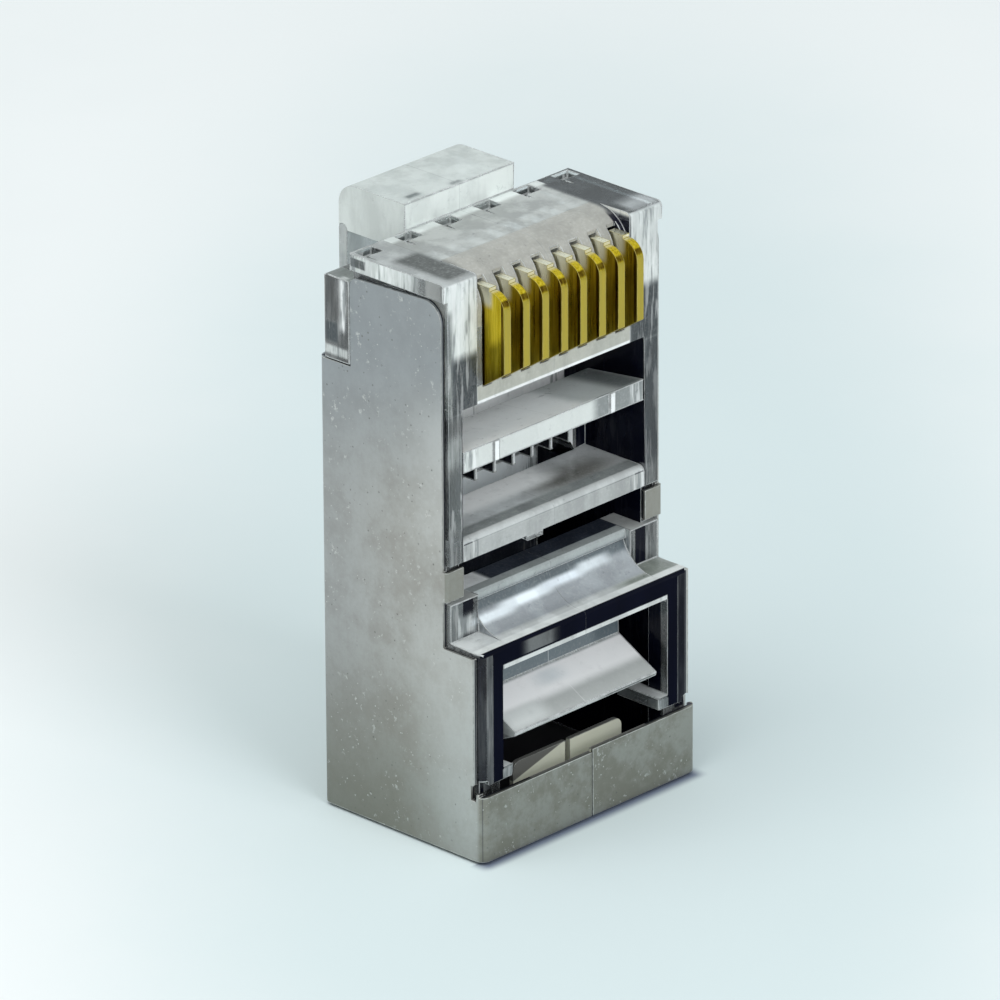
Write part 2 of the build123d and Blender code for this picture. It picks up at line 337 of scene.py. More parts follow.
@dataclass(frozen=True)
class ClearMoulding:
    """Clear moulded plastic with frosted faces, flow marks, fine scuffs and lined ends, and patches
    of painted light and shade.

    Frost is the share of frosted plastic, which swirl lets the flow marks vary. A gloss is the
    roughness where the plastic is unscuffed and where it is scuffed. The ends are lined from the
    first distance to the middle plane on, and fully at the second.
    """

    name: str
    patches: tuple[Patch, ...] = ()
    tint: Colour = (0.93, 0.95, 0.96)
    shade: Colour = (0.58, 0.61, 0.61)
    deepest: Colour = (0.001, 0.0015, 0.004)
    deep_blue: Colour = (0.003, 0.004, 0.014)
    frost: float = 0.15
    frost_limit: float = 0.97
    swirl: float = 0.1
    swirl_step: Pair = (0.38, 0.62)
    index: float = 1.58
    deep_specular: float = 0.02
    wear_and_rim_dimming: float = 1.0
    gloss: Pair = (0.27, 0.5)
    clear_gloss: Pair = (0.03, 0.16)
    deep_gloss: Pair = (0.1, 0.3)
    scuff_step: Pair = (0.3, 0.8)
    clear_scuff_step: Pair = (0.35, 0.8)
    lined: Pair = (4.0, 4.15)
    upright: Pair = (0.3, 0.7)
    flow_marks: Pattern = Pattern(0.8, 4.0, 0.6, (1.0, 1.0, 0.35))
    fine_grain: Pattern = Pattern(9.0, 3.0, 0.6)
    scuffing: Pattern = Pattern(2.6, 5.0, 0.7)
    lining: Pattern = Pattern(1.0, 3.0, 0.6, (5.0, 5.0, 0.5))
    haze: Wear = Wear((0.45, 0.75), 0.12, (0.9, 0.92, 0.92))
    grime: Wear = Wear((0.45, 0.3), 0.14, (0.12, 0.13, 0.14))
    pale_lines: Wear = Wear((0.5, 0.62), 0.5, (0.95, 0.97, 0.97))
    dark_lines: Wear = Wear((0.48, 0.36), 0.7, (0.16, 0.18, 0.19))
    relief: float = 0.00002
    relief_strength: float = 0.3
    relief_fine: float = 0.5

    def build(self) -> bpy.types.Material:
        """Make the material."""
        graph = Graph.material(self.name)
        place, normal = graph.place(), graph.facing()
        flow = graph.noise(self.flow_marks)
        fine = graph.noise(self.fine_grain)
        scuffs = graph.noise(self.scuffing)
        lines = graph.noise(self.lining)
        frost, deep, shade, tint = self._patched(graph, place, normal)
        share = flow.rise(*self.swirl_step, -self.swirl, self.swirl) + frost
        share = share.higher(0.0).lower(self.frost_limit)
        bump = graph.bump(fine * self.relief_fine + flow, self.relief, self.relief_strength)
        clear = graph.principled({
            "Base Color": tint, "Roughness": scuffs.rise(*self.clear_scuff_step, *self.clear_gloss),
            "IOR": self.index, "Transmission Weight": 1.0, "Normal": bump})
        ends = (1 - abs(normal[2])).rise(*self.upright) * abs(place[0]).rise(*self.lined)
        worn_and_front_shade = graph.blend(
            fine.rise(*self.haze.step) * (self.haze.share * self.wear_and_rim_dimming), shade, self.haze.colour)
        worn_and_front_shade = graph.blend(
            scuffs.rise(*self.grime.step) * (self.grime.share * self.wear_and_rim_dimming), worn_and_front_shade,
            self.grime.colour)
        for mark in (self.pale_lines, self.dark_lines):
            worn_and_front_shade = graph.blend(ends * lines.rise(*mark.step) * mark.share, worn_and_front_shade, mark.colour)
        frosted = graph.principled({
            "Base Color": worn_and_front_shade, "Roughness": scuffs.rise(*self.scuff_step, *self.gloss),
            "IOR": self.index, "Normal": bump})
        mixed = graph.node("ShaderNodeMixShader", {}, {0: share, 1: clear, 2: frosted})
        # A near-black shader where the patches paint deep shade
        if self.patches:
            painted_shade_bsdf = graph.principled({
                "Base Color": graph.blend(flow, self.deepest, self.deep_blue),
                "Roughness": scuffs.rise(*self.scuff_step, *self.deep_gloss),
                "Specular IOR Level": self.deep_specular})
            mixed = graph.node("ShaderNodeMixShader", {}, {0: deep, 1: mixed, 2: painted_shade_bsdf})
        return graph.finish(mixed)

    def _patched(self, graph: Graph, place: Sequence[Signal],
                 normal: Sequence[Signal]) -> tuple[Value, Value, Value, Value]:
        """Lay the patches over the plain finish, each over the ones before it.

        Args:
            graph: The material's graph.
            place: The point's X, Y and Z.
            normal: The surface normal's X, Y and Z.

        Returns:
            The share of frost, the share of near-black painted shade, the shade and the tint.
        """
        frost: Value = self.frost
        shade: Value = self.shade
        tint: Value = self.tint
        deep: Value = 0.0
        for patch in self.patches:
            inside = patch.mask(place, normal)
            frost = inside * (patch.frost - frost) + frost
            deep = inside * (patch.deep - deep) + deep
            shade = graph.blend(inside, shade, patch.shade)
            tint = graph.blend(inside, tint, patch.tint)
        return frost, deep, shade, tint


@dataclass(frozen=True)
class BrightEdge:
    """The fine softened edge of a piece, coloured paler than its faces: a painted highlight."""

    name: str
    colour: Colour
    metallic: float
    transmission: float = 0.0
    rough: float = 0.2
    rougher: float = 0.2
    dimmed: float = 0.62
    rim_breakup: Pattern = Pattern(3.0, 4.0, 0.65)
    dim_step: Pair = (0.35, 0.62)
    rough_step: Pair = (0.3, 0.7)

    def build(self) -> bpy.types.Material:
        """Make the material."""
        graph = Graph.material(self.name)
        # Noise that dims the painted highlight in places
        wear_and_rim_dimming = graph.noise(self.rim_breakup)
        dim = tuple(self.dimmed * value for value in self.colour)
        return graph.finish(graph.principled({
            "Base Color": graph.blend(wear_and_rim_dimming.rise(*self.dim_step), self.colour, dim),
            "Metallic": self.metallic, "Transmission Weight": self.transmission,
            "Roughness": wear_and_rim_dimming.rise(*self.rough_step, self.rough, self.rough + self.rougher)}))


@dataclass(frozen=True)
class NickelSheet:
    """Satin nickel-plated sheet, mottled and specked, with painted shade inside, painted light and
    shade over its outside, and a cream foot tab with a painted shadow across its top.

    Places are in millimetres in the part's frame. Pits and glints are given by their cells per
    millimetre and their radius as a share of a cell.
    """

    name: str
    bright: Colour = (0.45, 0.455, 0.437)
    dull: Colour = (0.375, 0.365, 0.34)
    cool: Colour = (0.30, 0.325, 0.345)
    warm: Colour = (0.225, 0.22, 0.185)
    inner: Colour = (0.05, 0.05, 0.065)
    cream: Colour = (0.76, 0.77, 0.64)
    speck_and_tab_shadow: Colour = (0.16, 0.16, 0.15)
    glint: Colour = (0.70, 0.71, 0.69)
    half_width: float = 5.84
    rim_half: float = 4.2
    sheet: float = 0.2
    skin: float = 0.45
    inner_soft: float = 0.03
    foot_tab_half: float = 3.1
    foot_tab_top: float = 2.9
    foot_tab_depth: Pair = (-2.5, -2.6)
    foot_tab_soft: float = 0.05
    foot_tab_veil: float = 0.85
    slant_end: float = -0.2
    slant_slope: float = 0.8 / 2.9
    slant_below: Pair = (0.08, 0.14)
    slant_upright: Pair = (0.7, 0.4)
    side_tab_depth: Pair = (2.28, 2.32)
    side_tab_foot: Pair = (8.6, 8.8)
    side_tab_share: float = 0.6
    mottling: Pattern = Pattern(0.6, 6.0, 0.68)
    graining: Pattern = Pattern(6.0, 4.0, 0.7)
    rolling: Pattern = Pattern(1.0, 3.0, 0.6, (7.0, 7.0, 0.6))
    flecking: Pattern = Pattern(3.2, 5.0, 0.72)
    clouds: Pair = (0.36, 0.64)
    dull_grain: Layer = Layer(0.4, 0.7, 0.35)
    dull_streaks: Layer = Layer(0.45, 0.85, 0.3)
    cool_top: Layer = Layer(12.0, 20.0, 0.8)
    cool_rear: Layer = Layer(-1.0, 4.0, 0.4)
    sheen_depth: Pair = (0.5, -2.5)
    low_sheen: Pair = (1.0, 9.0)
    high_sheen: Pair = (12.0, 18.0)
    sheen_soft: float = 1.5
    sheen_share: float = 0.35
    warm_foot: Pair = (9.0, 0.0)
    warm_depth: Pair = (-4.2, 1.0)
    warm_share: float = 0.85
    band_inset: Pair = (0.35, 0.15)
    band_clouds: Pair = (0.4, 0.6)
    band_share: Pair = (0.62, 0.9)
    pits: Pair = (2.6, 0.13)
    pit_grain: Pair = (0.45, 0.55)
    pit_share: float = 0.7
    fleck_step: Pair = (0.60, 0.66)
    fleck_clouds: Pair = (0.44, 0.54)
    fleck_share: float = 0.5
    glints: Pair = (3.7, 0.12)
    glint_clouds: Pair = (0.48, 0.56)
    glint_share: float = 0.8
    gloss: Pair = (0.34, 0.48)
    gloss_clouds: Pair = (0.3, 0.75)
    gloss_grain: float = 0.1
    relief: float = 0.00003
    relief_strength: float = 0.6
    relief_grain: float = 0.6
    relief_streaks: float = 0.4

    def build(self) -> bpy.types.Material:
        """Make the material."""
        graph = Graph.material(self.name)
        x, y, z = graph.place()
        upward = graph.facing()[2]
        mottle = graph.noise(self.mottling)
        grain = graph.noise(self.graining)
        rolled = graph.noise(self.rolling)
        pits = graph.specks(*self.pits) * grain.rise(*self.pit_grain)
        flecks = graph.noise(self.flecking)
        glints = graph.specks(*self.glints) * mottle.rise(*self.glint_clouds)
        metal = self._plating(graph, (y, z), mottle, grain, rolled)
        metal = graph.blend(pits * self.pit_share, metal, self.speck_and_tab_shadow)
        flecked = flecks.rise(*self.fleck_step) * mottle.rise(*self.fleck_clouds)
        metal = graph.blend(flecked * self.fleck_share, metal, self.glint)
        metal = graph.blend(glints * self.glint_share, metal, self.glint)
        inside = self._within(x, self.half_width) * self._within(y, self.rim_half)
        foot_tab = (abs(x).rise(self.foot_tab_half + self.foot_tab_soft, self.foot_tab_half)
                    * z.rise(self.foot_tab_top + self.foot_tab_soft, self.foot_tab_top)
                    * y.rise(*self.foot_tab_depth))
        side_tab = (-1 * y).rise(*self.side_tab_depth) * z.rise(*self.side_tab_foot)
        metal = graph.blend(side_tab * self.side_tab_share, metal, self.warm)
        # Inner faces: painted shade, near black
        metal = graph.blend(inside * (1 - side_tab) * (1 - foot_tab), metal, self.inner)
        # Painted shadow across the top of the foot tab, above a slanted line
        slant = z - x.lower(self.slant_end) * self.slant_slope
        start, end = (self.foot_tab_top - below for below in self.slant_below)
        lit = slant.rise(start, end) * upward.rise(*self.slant_upright)
        metal = graph.blend(foot_tab * inside, metal, graph.blend(lit, self.speck_and_tab_shadow, self.cream))
        rough = mottle.rise(*self.gloss_clouds, *self.gloss) + grain * self.gloss_grain
        height = grain * self.relief_grain + rolled * self.relief_streaks
        return graph.finish(graph.principled({
            "Base Color": metal, "Metallic": 1 - foot_tab * inside * self.foot_tab_veil,
            "Roughness": rough, "Normal": graph.bump(height, self.relief, self.relief_strength)}))

    def _plating(self, graph: Graph, place: Sequence[Signal], mottle: Signal, grain: Signal,
                 rolled: Signal) -> Signal:
        """Mix the plating's tones: clouds and grain, then painted shade towards the top, the rear,
        the foot and the front band, and a painted sheen near the front.

        Args:
            graph: The material's graph.
            place: The point's Y and Z.
            mottle: The wide clouds.
            grain: The fine grain.
            rolled: The streaks of the rolled sheet.

        Returns:
            The colour without specks and tabs.
        """
        y, z = place
        metal = graph.blend(mottle.rise(*self.clouds), self.bright, self.dull)
        metal = graph.blend(grain.shown(self.dull_grain), metal, self.dull)
        metal = graph.blend(rolled.shown(self.dull_streaks), metal, self.dull)
        # Painted shade, cooler and darker towards the top and the rear
        metal = graph.blend(z.shown(self.cool_top), metal, self.cool)
        metal = graph.blend(y.shown(self.cool_rear), metal, self.cool)
        # Painted sheen in two bands near the front
        sheen = y.rise(*self.sheen_depth) * (z.within(*self.low_sheen, self.sheen_soft)
                                             + z.within(*self.high_sheen, self.sheen_soft))
        metal = graph.blend(sheen * self.sheen_share, metal, self.glint)
        # Painted shade, warmer and darker at the foot towards the rear
        foot = z.rise(*self.warm_foot) * y.rise(*self.warm_depth, 0.0, self.warm_share)
        metal = graph.blend(foot, metal, self.warm)
        # Front band: painted shade, darker and warmer in clouds
        start, end = (self.rim_half - inset for inset in self.band_inset)
        band = (-1 * y).rise(start, end) * mottle.rise(*self.band_clouds, *self.band_share)
        return graph.blend(band, metal, self.warm)

    def _within(self, along: Signal, half: float) -> Signal:
        """One under the sheet's outer skin, along an axis on which the shield reaches to half."""
        skin = self.skin * self.sheet
        return abs(along).rise(half - skin, half - skin - self.inner_soft)


@dataclass(frozen=True)
class GoldBlade:
    """Gold-plated contact: golden flanks, a darker front face and a dark band behind it as painted
    shade, painted shade at the rear and the foot, and paler tips.

    An inset is a distance behind the blades' front face. Heights are in the part's frame.
    """

    name: str
    flank: Colour = (0.58, 0.42, 0.015)
    light: Colour = (0.84, 0.66, 0.06)
    front: Colour = (0.42, 0.34, 0.06)
    shade: Colour = (0.05, 0.018, 0.003)
    veiled: Colour = (0.92, 0.90, 0.76)
    front_face: float = -3.42
    drawing: Pattern = Pattern(1.0, 4.0, 0.6, (9.0, 9.0, 0.5))
    graining: Pattern = Pattern(7.0, 3.0)
    light_step: Pair = (0.4, 0.75)
    band_inset: Pair = (0.04, 0.17)
    band_soft: float = 0.03
    rear_inset: Pair = (0.95, 1.06)
    rear_top: Pair = (21.4, 21.1)
    dark_step: Pair = (0.3, 0.6)
    dark_share: Pair = (0.95, 0.8)
    front_inset: Pair = (0.05, 0.02)
    front_step: Pair = (0.2, 0.6)
    front_share: Pair = (0.7, 1.0)
    foot_height: Pair = (19.3, 18.4)
    foot_inset: Pair = (0.1, 0.3)
    foot_share: float = 0.6
    tip_height: Pair = (21.25, 21.6)
    tip_inset: Pair = (0.5, 0.8)
    tip_share: float = 0.9
    gloss: Pair = (0.25, 0.45)
    gloss_step: Pair = (0.3, 0.8)
    relief: float = 0.00001
    relief_strength: float = 0.4

    def build(self) -> bpy.types.Material:
        """Make the material."""
        graph = Graph.material(self.name)
        _, y, z = graph.place()
        drawn = graph.noise(self.drawing)
        grain = graph.noise(self.graining)
        inset = y - self.front_face
        gold = graph.blend(drawn.rise(*self.light_step), self.flank, self.light)
        # Painted shade: a dark band behind the front face, and the rear below the tips
        dark = (inset.within(*self.band_inset, self.band_soft)
                + inset.rise(*self.rear_inset) * z.rise(*self.rear_top))
        dark = dark.lower(1.0) * drawn.rise(*self.dark_step, *self.dark_share)
        gold = graph.blend(dark, gold, self.shade)
        # Front face: a darker tone as painted shade
        worn_and_front_shade = inset.rise(*self.front_inset) * drawn.rise(*self.front_step, *self.front_share)
        gold = graph.blend(worn_and_front_shade, gold, self.front)
        # Painted shade at the foot
        foot = z.rise(*self.foot_height) * inset.rise(*self.foot_inset)
        gold = graph.blend(foot * self.foot_share, gold, self.shade)
        tip = z.rise(*self.tip_height) * inset.rise(*self.tip_inset)
        gold = graph.blend(tip * self.tip_share, gold, self.veiled)
        return graph.finish(graph.principled({
            "Base Color": gold, "Metallic": 1.0,
            "Roughness": drawn.rise(*self.gloss_step, *self.gloss),
            "Normal": graph.bump(grain, self.relief, self.relief_strength)}))


@dataclass(frozen=True)
class PaleFloor:
    """Plain pale matt floor, faintly clouded, with painted shade behind the part and under it.

    The painted shade behind the part is an oval about a middle point, turned by an angle in
    degrees. The painted contact shadow lies along the part's front edge. Places are in millimetres.
    """

    name: str
    far: Colour = (0.845, 0.865, 0.87)
    near: Colour = (0.64, 0.725, 0.74)
    cloudy: Colour = (0.55, 0.60, 0.62)
    contact: Colour = (0.10, 0.125, 0.20)
    under: Colour = (0.012, 0.012, 0.015)
    middle: Pair = (9.8, 5.2)
    turn: float = 46.0
    squash: float = 0.3
    reach: Pair = (10.0, 27.0)
    clouding: Pattern = Pattern(0.09, 3.0)
    cloud_reach: float = 5.0
    clouds: Layer = Layer(0.3, 0.7, 0.04)
    contact_reach: Pair = (0.55, 0.0)
    contact_back: Pair = (-0.5, -0.3)
    contact_ends: Pair = (0.4, -0.3)
    contact_share: float = 0.9
    under_width: Pair = (5.7, 5.4)
    under_depth: Pair = (4.0, 3.8)
    rough: float = 0.9

    def build(self) -> bpy.types.Material:
        """Make the material."""
        graph = Graph.material(self.name)
        x, y, _ = graph.place()
        turn = math.radians(self.turn)
        from_x, from_y = x - self.middle[0], y - self.middle[1]
        aside = from_x * math.cos(turn) - from_y * math.sin(turn)
        away = (from_x * math.sin(turn) + from_y * math.cos(turn)) * self.squash
        cloud = graph.noise(self.clouding)
        apart = (aside * aside + away * away).root()
        apart = apart + cloud * self.cloud_reach - self.cloud_reach / 2
        # Painted shade: darker towards the middle behind the part
        pale = graph.blend(apart.rise(*self.reach), self.near, self.far)
        pale = graph.blend(cloud.shown(self.clouds), pale, self.cloudy)
        # Painted contact shadow along the part's front edge
        ahead = CAD_BOX[0].y / MM - y
        foot = ahead.rise(*self.contact_reach) * ahead.rise(*self.contact_back)
        start, end = (CAD_BOX[1].x / MM + beyond for beyond in self.contact_ends)
        foot = foot * abs(x).rise(start, end)
        pale = graph.blend(foot * self.contact_share, pale, self.contact)
        # Painted shade under the part
        under = abs(x).rise(*self.under_width) * abs(y).rise(*self.under_depth)
        pale = graph.blend(under, pale, self.under)
        return graph.finish(graph.principled({"Base Color": pale, "Roughness": self.rough}))


# ------------------------------------------------------------------ assemblies


class Edge(Enum):
    """How wide a softened edge is, in metres."""

    MOULDED = 0.00005
    STAMPED = 0.00003
    BLADE = 0.00002


WELD_REACH = 1e-6
FLAT_DEGREES = 1
EDGE_DEGREES = 50
EDGE_SEGMENTS = 2
RIM_SLOT = 1


def dress(node: str, face: bpy.types.Material, rim: bpy.types.Material,
          edge: Edge) -> None:
    """Give a CAD node its finish and its softened edges.

    Args:
        node: The CAD node's name.
        face: The finish for all its faces.
        rim: The material of the softened edges, a painted highlight.
        edge: The width of the softened edges.
    """
    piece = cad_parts[node]
    piece.data.materials.clear()
    piece.data.materials.append(face)
    piece.data.materials.append(rim)
    weld = piece.modifiers.new("weld", "WELD")
    weld.merge_threshold = WELD_REACH
    flats = piece.modifiers.new("flats", "DECIMATE")
    flats.decimate_type = "DISSOLVE"
    flats.angle_limit = math.radians(FLAT_DEGREES)
    bevel = piece.modifiers.new("edge", "BEVEL")
    bevel.width = edge.value
    bevel.offset_type = "ABSOLUTE"
    bevel.segments = EDGE_SEGMENTS
    bevel.material = RIM_SLOT
    bevel.limit_method = "ANGLE"
    bevel.angle_limit = math.radians(EDGE_DEGREES)
    bevel.harden_normals = True
    bevel.use_clamp_overlap = False
    LOG.info("dressed %s", node)


NAVY = (0.02, 0.022, 0.045)
WHITE = (0.90, 0.92, 0.92)
PALE = (0.70, 0.73, 0.73)
GREY = (0.42, 0.44, 0.44)
INK = (0.0010, 0.0012, 0.0050)
SMOKE = (0.28, 0.31, 0.33)

# Patches of the housing: most of them paint light and shade onto it as frost and tint
HOUSING_PATCHES = (
    # Inner faces of the cable entry and of the clamp bay, which stand in deep shade
    Patch((4.38, 4.97), (-3.6, 3.4), (0.3, 18.2), 0.05, NAVY, INK, deep=0.85),
    Patch((0.0, 5.0), (3.1, 3.5), (0.0, 18.2), 0.1, NAVY, INK, deep=0.9),
    Patch((0.0, 5.0), (-2.0, 3.4), (11.3, 11.6), 0.1, NAVY, INK, Facing.DOWN, deep=0.9),
    Patch((0.0, 5.0), (-1.3, -0.7), (7.3, 9.8), 0.0, NAVY, INK, deep=0.9),
    Patch((0.0, 5.0), (-3.9, -0.7), (7.4, 7.55), 0.0, NAVY, INK, Facing.DOWN, deep=0.9),
    # Wire channels with painted shade in them, and painted light on the posts between them and on
    # the back walls
    Patch((0.0, 4.2), (0.75, 1.95), (12.2, 21.5), 0.15, NAVY, (0.02, 0.02, 0.03), deep=0.75),
    Patch((0.0, 4.2), (0.62, 0.75), (12.2, 17.6), 0.9, WHITE, facing=Facing.FRONT),
    Patch((0.0, 4.9), (1.7, 2.0), (13.9, 17.6), 0.95, (1.0, 1.0, 1.0), facing=Facing.FRONT),
    Patch((0.0, 4.9), (3.1, 3.5), (10.3, 11.9), 0.9, (0.90, 0.95, 0.97), facing=Facing.FRONT),
    # Roof of the clamp bay, painted white so that it throws light down onto the bar
    Patch((0.0, 4.9), (-2.3, 0.7), (17.5, 17.65), 0.9, WHITE, facing=Facing.DOWN),
    # Web between the windows: painted light on its top towards -X, painted shade towards +X and on
    # the back wall below
    Patch((0.0, 4.9), (-2.4, 0.75), (12.2, 12.4), 0.88, (0.60, 0.62, 0.63), facing=Facing.UP),
    Patch((0.4, 4.4), (-1.7, -0.2), (12.2, 12.4), 0.80, (0.20, 0.195, 0.18), facing=Facing.UP,
          one_sided=True, soft=(1.4, 0.7, 0.03)),
    Patch((-4.9, 1.8), (-0.7, 0.8), (12.2, 12.4), 0.97, (1.0, 1.0, 1.0), facing=Facing.UP,
          one_sided=True, soft=(0.9, 0.35, 0.03)),
    Patch((0.0, 4.9), (-2.15, -1.5), (12.2, 12.4), 0.8, (0.27, 0.29, 0.29), facing=Facing.UP,
          soft=(0.03, 0.12, 0.03)),
    Patch((0.0, 4.9), (-2.45, -2.3), (11.4, 12.1), 0.8, (0.42, 0.435, 0.43), facing=Facing.FRONT),
    Patch((0.0, 4.9), (-2.45, -2.1), (12.12, 12.4), 0.9, (0.52, 0.54, 0.54)),
    Patch((0.0, 4.9), (3.1, 3.5), (7.4, 10.3), 0.5, (0.11, 0.13, 0.18), INK, Facing.FRONT,
          deep=0.2),
    # Columns beside the windows: painted shade, with a band of painted light on the -X column
    Patch((4.93, 5.9), (-2.5, -2.3), (8.4, 18.2), 0.3, (0.30, 0.33, 0.33), (0.12, 0.145, 0.155)),
    Patch((-5.9, -4.93), (-2.5, -2.3), (12.9, 15.0), 0.5, (0.12, 0.14, 0.14), one_sided=True,
          soft=(0.03, 0.03, 0.35)),
    Patch((-5.9, -4.93), (-2.5, -2.3), (15.4, 16.6), 0.5, (0.46, 0.50, 0.49), one_sided=True,
          soft=(0.03, 0.03, 0.3)),
    Patch((4.93, 5.9), (-2.5, -2.3), (12.4, 17.6), 0.4, (0.12, 0.15, 0.16), SMOKE,
          one_sided=True, deep=0.35, soft=(0.03, 0.03, 0.3)),
    # Bar over the scoop, its lip and its ends: painted shade on the top, painted light at its -X
    # end
    Patch((0.0, 4.15), (-2.0, -0.6), (9.8, 9.95), 0.5, (0.07, 0.09, 0.13), INK, Facing.UP,
          deep=0.3),
    Patch((-4.2, -2.75), (-2.0, -0.6), (9.8, 9.95), 0.95, (0.95, 0.98, 0.98), facing=Facing.UP,
          one_sided=True, soft=(0.15, 0.1, 0.03)),
    Patch((4.15, 5.9), (-2.4, -0.6), (9.8, 9.95), 0.75, (0.55, 0.57, 0.56), facing=Facing.UP),
    Patch((0.0, 4.12), (-2.3, -1.65), (9.5, 10.1), 0.92, (0.38, 0.415, 0.415)),
    Patch((-5.2, -4.2), (-2.5, -2.3), (8.45, 9.3), 0.75, (0.52, 0.55, 0.55), one_sided=True,
          soft=(0.03, 0.03, 0.2)),
    # Scoop: grey, with painted shade under the bar and a painted highlight streak that climbs
    # towards +X
    Patch((0.0, 4.15), (-3.95, -1.9), (8.4, 9.5), 0.75, (0.40, 0.43, 0.46)),
    Patch((0.0, 4.15), (-3.95, -1.9), (9.12, 9.6), 0.75, (0.13, 0.16, 0.18), INK,
          soft=(0.03, 0.03, 0.12)),
    Patch((-4.4, -2.3), (-3.9, -1.9), (8.72, 8.98), 0.9, (0.88, 0.95, 1.0), one_sided=True,
          soft=(0.5, 0.1, 0.09)),
    Patch((-2.9, -0.2), (-3.9, -1.9), (8.82, 9.10), 0.9, (0.88, 0.95, 1.0), one_sided=True,
          soft=(0.5, 0.1, 0.09)),
    Patch((-0.6, 1.5), (-3.9, -1.9), (8.90, 9.16), 0.9, (0.84, 0.91, 0.98), one_sided=True,
          soft=(0.5, 0.1, 0.09)),
    Patch((1.4, 3.0), (-3.9, -1.9), (8.96, 9.28), 0.85, (0.74, 0.80, 0.84), one_sided=True,
          soft=(0.4, 0.1, 0.1)),
    # Section above the lower window and the columns beside it, with painted light and shade:
    Patch((0.0, 5.9), (-4.0, -2.0), (8.3, 8.42), 0.75, (0.70, 0.73, 0.73), facing=Facing.UP),
    # Painted shade on the top towards +X
    Patch((2.4, 5.9), (-4.0, -2.0), (8.3, 8.42), 0.75, (0.26, 0.29, 0.26), facing=Facing.UP,
          one_sided=True, soft=(0.9, 0.03, 0.03)),
    # Painted highlight along the top's front edge
    Patch((0.0, 5.9), (-3.86, -3.45), (8.3, 8.42), 0.85, (0.78, 0.81, 0.80), facing=Facing.UP,
          soft=(0.03, 0.06, 0.03)),
    # Painted shade through the front wall
    Patch((0.0, 5.9), (-4.1, -3.84), (8.15, 8.40), 0.0, NAVY, INK, deep=0.95),
    Patch((0.0, 4.5), (-4.1, -3.9), (7.6, 8.24), 0.0, NAVY, INK, deep=1.0),
    Patch((-3.3, -1.6), (-4.1, -3.9), (7.7, 8.25), 0.3, GREY, INK, one_sided=True, deep=0.3,
          soft=(0.35, 0.03, 0.03)),
    # Painted highlight along the wall's lower edge
    Patch((0.0, 4.5), (-4.1, -3.75), (7.3, 7.64), 0.8, (0.66, 0.68, 0.67)),
    # Painted shade in the columns beside the window
    Patch((4.45, 5.0), (-4.1, -3.9), (0.3, 8.22), 0.0, NAVY, INK, deep=1.0),
    Patch((5.0, 5.35), (-4.1, -3.7), (2.7, 8.22), 0.35, GREY, (0.09, 0.10, 0.13), deep=0.5),
    Patch((5.35, 5.9), (-4.1, -3.7), (2.7, 8.22), 0.1, GREY, (0.016, 0.018, 0.04), deep=0.6),
    Patch((5.05, 5.8), (-4.1, -3.7), (2.7, 8.22), 0.1, GREY, INK, one_sided=True, deep=0.85),
    # Ledges at the foot of the cable entry
    Patch((3.9, 4.6), (-4.0, -1.7), (3.4, 3.55), 0.8, PALE, facing=Facing.UP),
    Patch((3.9, 4.5), (-4.0, -1.7), (2.9, 3.4), 0.4, (0.34, 0.37, 0.38), SMOKE),
    # Nose: cross rail, comb, top and the pockets in it, with painted light and shade:
    Patch((0.0, 4.9), (-2.5, -2.2), (17.5, 18.25), 0.85, (0.47, 0.475, 0.42)),
    # Painted highlight along the rail's lower edge
    Patch((0.0, 4.9), (-2.5, -2.2), (17.45, 17.66), 0.9, WHITE),
    # Painted shade on the comb, and painted light on the walls of its slots
    Patch((0.0, 4.1), (-2.5, -0.5), (20.6, 22.8), 0.90, (0.36, 0.355, 0.325)),
    Patch((0.0, 4.1), (-2.5, -0.5), (20.9, 22.8), 0.95, (0.72, 0.71, 0.66), facing=Facing.LEFT),
    Patch((4.1, 5.9), (-2.5, -2.3), (17.4, 22.8), 0.75, (0.74, 0.78, 0.77)),
    # Painted shade at the foot of the columns
    Patch((4.1, 5.9), (-2.5, -2.3), (17.3, 19.65), 0.6, (0.05, 0.065, 0.07), SMOKE, deep=0.25,
          soft=(0.03, 0.03, 0.25)),
    Patch((-5.9, -5.4), (-2.5, -2.2), (17.4, 21.6), 0.5, (0.30, 0.33, 0.32), one_sided=True,
          soft=(0.1, 0.03, 0.2)),
    Patch((-5.9, -5.75), (-0.9, 2.5), (21.8, 22.75), 0.85, (0.66, 0.70, 0.68), one_sided=True,
          soft=(0.03, 0.5, 0.03)),
    # Painted shade on the dark facet at the +X end
    Patch((3.75, 4.15), (-2.45, -1.2), (21.4, 22.6), 0.7, NAVY, deep=0.7, one_sided=True,
          soft=(0.05, 0.1, 0.1)),
    Patch((0.0, 4.1), (-0.5, 2.5), (22.6, 22.8), 0.5, (0.66, 0.69, 0.67), facing=Facing.UP),
    # Painted shade on the top at the +X end
    Patch((3.9, 5.9), (-2.1, 2.5), (22.6, 22.8), 0.30, (0.15, 0.17, 0.18), (0.04, 0.05, 0.055),
          Facing.UP, one_sided=True, deep=0.3, soft=(0.15, 0.15, 0.03)),
    Patch((4.4, 5.9), (-2.3, -1.3), (22.6, 22.8), 0.6, (0.46, 0.49, 0.51), facing=Facing.UP,
          one_sided=True, soft=(0.2, 0.4, 0.03)),
    Patch((-5.9, -4.1), (-2.5, 2.5), (22.6, 22.8), 0.55, (0.60, 0.63, 0.63), facing=Facing.UP,
          one_sided=True),
    Patch((-5.4, -4.0), (-2.2, 0.8), (22.6, 22.8), 0.95, (0.045, 0.05, 0.048),
          facing=Facing.UP, one_sided=True, soft=(0.3, 0.35, 0.03)),
    Patch((0.0, 4.1), (1.95, 2.5), (22.6, 22.8), 0.8, (0.80, 0.85, 0.83), facing=Facing.UP,
